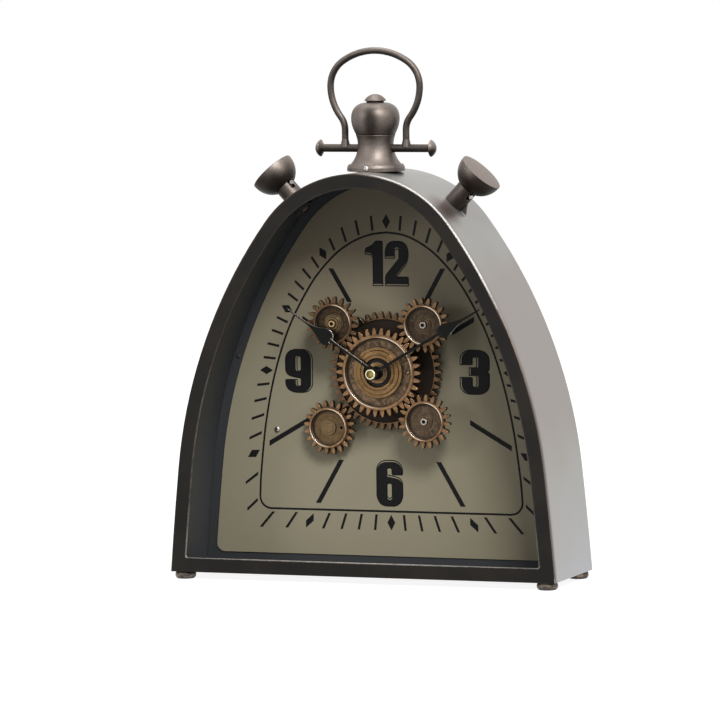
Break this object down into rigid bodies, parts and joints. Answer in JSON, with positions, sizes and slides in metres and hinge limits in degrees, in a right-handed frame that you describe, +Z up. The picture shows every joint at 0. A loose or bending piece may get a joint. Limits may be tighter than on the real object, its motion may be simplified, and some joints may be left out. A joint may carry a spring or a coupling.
{
  "type": "table clock",
  "caption": "Arched metal table clock in a stopwatch style, with a crown, hinged bow, sprung pushers and a coupled train of turning gears in front of the dial.",
  "frame": {"origin": "on the table, under the middle of the case", "axes": "+Z up, the dial faces -Y, +X to the right of a viewer in front of the dial"},
  "size_m": [0.27, 0.0788, 0.3531],
  "materials": {
    "front_paint": "satin",
    "band_satin": "satin",
    "base_paint": "satin",
    "foot_paint": "satin",
    "panel_paint": "matte",
    "dial_paint": "matte",
    "cover_paint": "matte",
    "screw_steel": "satin",
    "pewter": "antique",
    "pin_steel": "satin",
    "spring_steel": "satin",
    "gear_copper": "antique",
    "web_dark": "matte",
    "disc_gold": "turned",
    "collar_copper": "satin",
    "post_steel": "satin",
    "hand_black": "satin",
    "nut_brass": "polished",
    "module_plastic": "matte",
    "cell_label": "gloss"
  },
  "bodies": {
    "case": {"front_frame": "front_paint", "case_band": "band_satin", "base_plate": "base_paint", "foot_front_left": "foot_paint", "foot_front_right": "foot_paint", "foot_back_left": "foot_paint", "foot_back_right": "foot_paint", "dial_backing": "panel_paint", "panel_brackets": "panel_paint", "dial_plate": "dial_paint", "back_cover": "cover_paint", "panel_screws": "screw_steel", "dial_screw": "screw_steel", "back_cover_screws": "screw_steel", "motor_screws": "screw_steel", "back_pillars": "screw_steel", "crown_nut": "screw_steel", "pusher_nuts": "screw_steel", "bush_nut": "screw_steel", "centre_bush": "screw_steel", "crown_stem": "pewter", "crown_bulb": "pewter", "crown_finial": "pewter", "crown_screw": "pewter", "pusher_sleeve_left": "pewter", "pusher_sleeve_right": "pewter", "retaining_collar": "collar_copper", "idler_post_upper_left": "post_steel", "idler_post_upper_right": "post_steel", "idler_post_lower_right": "post_steel", "movement_case": "module_plastic", "gear_motor": "module_plastic", "movement_battery": "cell_label", "motor_battery": "cell_label"},
    "gear_cluster": {"back_gear": "gear_copper", "back_gear_web": "web_dark", "gear_hub": "gear_copper", "centre_gear": "gear_copper", "centre_disc": "disc_gold", "cluster_rivet": "collar_copper"},
    "drive": {"drive_gear": "gear_copper", "drive_shaft": "screw_steel"},
    "idler_upper_left": {"idler_gear_upper_left": "gear_copper"},
    "idler_upper_right": {"idler_gear_upper_right": "gear_copper"},
    "idler_lower_right": {"idler_gear_lower_right": "gear_copper"},
    "minute": {"minute_arbor": "hand_black", "minute_hand": "hand_black", "hand_nut": "nut_brass"},
    "hour": {"hour_pipe": "hand_black", "hour_hand": "hand_black"},
    "knob": {"set_knob": "module_plastic"},
    "bow": {"bow_bar": "pewter", "bow_loop": "pewter", "bow_knobs": "pewter"},
    "pusher_left": {"pusher_cap_left": "pewter", "pusher_pin_left": "pin_steel", "pusher_spring_left": "spring_steel"},
    "pusher_right": {"pusher_cap_right": "pewter", "pusher_pin_right": "pin_steel", "pusher_spring_right": "spring_steel"}
  },
  "joints": [
    {"name": "cluster_spin", "type": "hinge", "parent": "case", "child": "gear_cluster", "pos_m": [0, 0, 0.1373], "axis": [0, 1, 0], "continuous": true},
    {"name": "drive_spin", "type": "hinge", "parent": "case", "child": "drive", "pos_m": [-0.03989, 0, 0.09878], "axis": [0, 1, 0], "continuous": true},
    {"name": "idler_upper_left_spin", "type": "hinge", "parent": "case", "child": "idler_upper_left", "pos_m": [-0.03207, 0, 0.16937], "axis": [0, 1, 0], "continuous": true},
    {"name": "idler_upper_right_spin", "type": "hinge", "parent": "case", "child": "idler_upper_right", "pos_m": [0.03207, 0, 0.16937], "axis": [0, 1, 0], "continuous": true},
    {"name": "idler_lower_right_spin", "type": "hinge", "parent": "case", "child": "idler_lower_right", "pos_m": [0.03207, 0, 0.10523], "axis": [0, 1, 0], "continuous": true},
    {"name": "minute_spin", "type": "hinge", "parent": "case", "child": "minute", "pos_m": [0, 0, 0.1373], "axis": [0, 1, 0], "continuous": true},
    {"name": "hour_spin", "type": "hinge", "parent": "case", "child": "hour", "pos_m": [0, 0, 0.1373], "axis": [0, 1, 0], "continuous": true},
    {"name": "set_knob_spin", "type": "hinge", "parent": "case", "child": "knob", "pos_m": [0, 0, 0.1483], "axis": [0, 1, 0], "continuous": true},
    {"name": "bow_swing", "type": "hinge", "parent": "case", "child": "bow", "pos_m": [0, 0, 0.28634], "axis": [1, 0, 0], "range_deg": [-100, 100]},
    {"name": "pusher_left_press", "type": "slide", "parent": "case", "child": "pusher_left", "axis": [0.682, 0, -0.7314], "range_m": [0, 0.002], "stiffness_N_per_m": 400, "springref_m": -0.003, "deforming": ["pusher_spring_left"]},
    {"name": "pusher_right_press", "type": "slide", "parent": "case", "child": "pusher_right", "axis": [-0.682, 0, -0.7314], "range_m": [0, 0.002], "stiffness_N_per_m": 400, "springref_m": -0.003, "deforming": ["pusher_spring_right"]}
  ],
  "couplings": [
    {"joint": "drive_spin", "follows": "cluster_spin", "ratio": -2.3},
    {"joint": "idler_upper_left_spin", "follows": "cluster_spin", "ratio": -1.7},
    {"joint": "idler_upper_right_spin", "follows": "cluster_spin", "ratio": -1.7},
    {"joint": "idler_lower_right_spin", "follows": "cluster_spin", "ratio": -1.7},
    {"joint": "hour_spin", "follows": "minute_spin", "ratio": 0.083333},
    {"joint": "set_knob_spin", "follows": "minute_spin", "ratio": -0.33333}
  ]
}
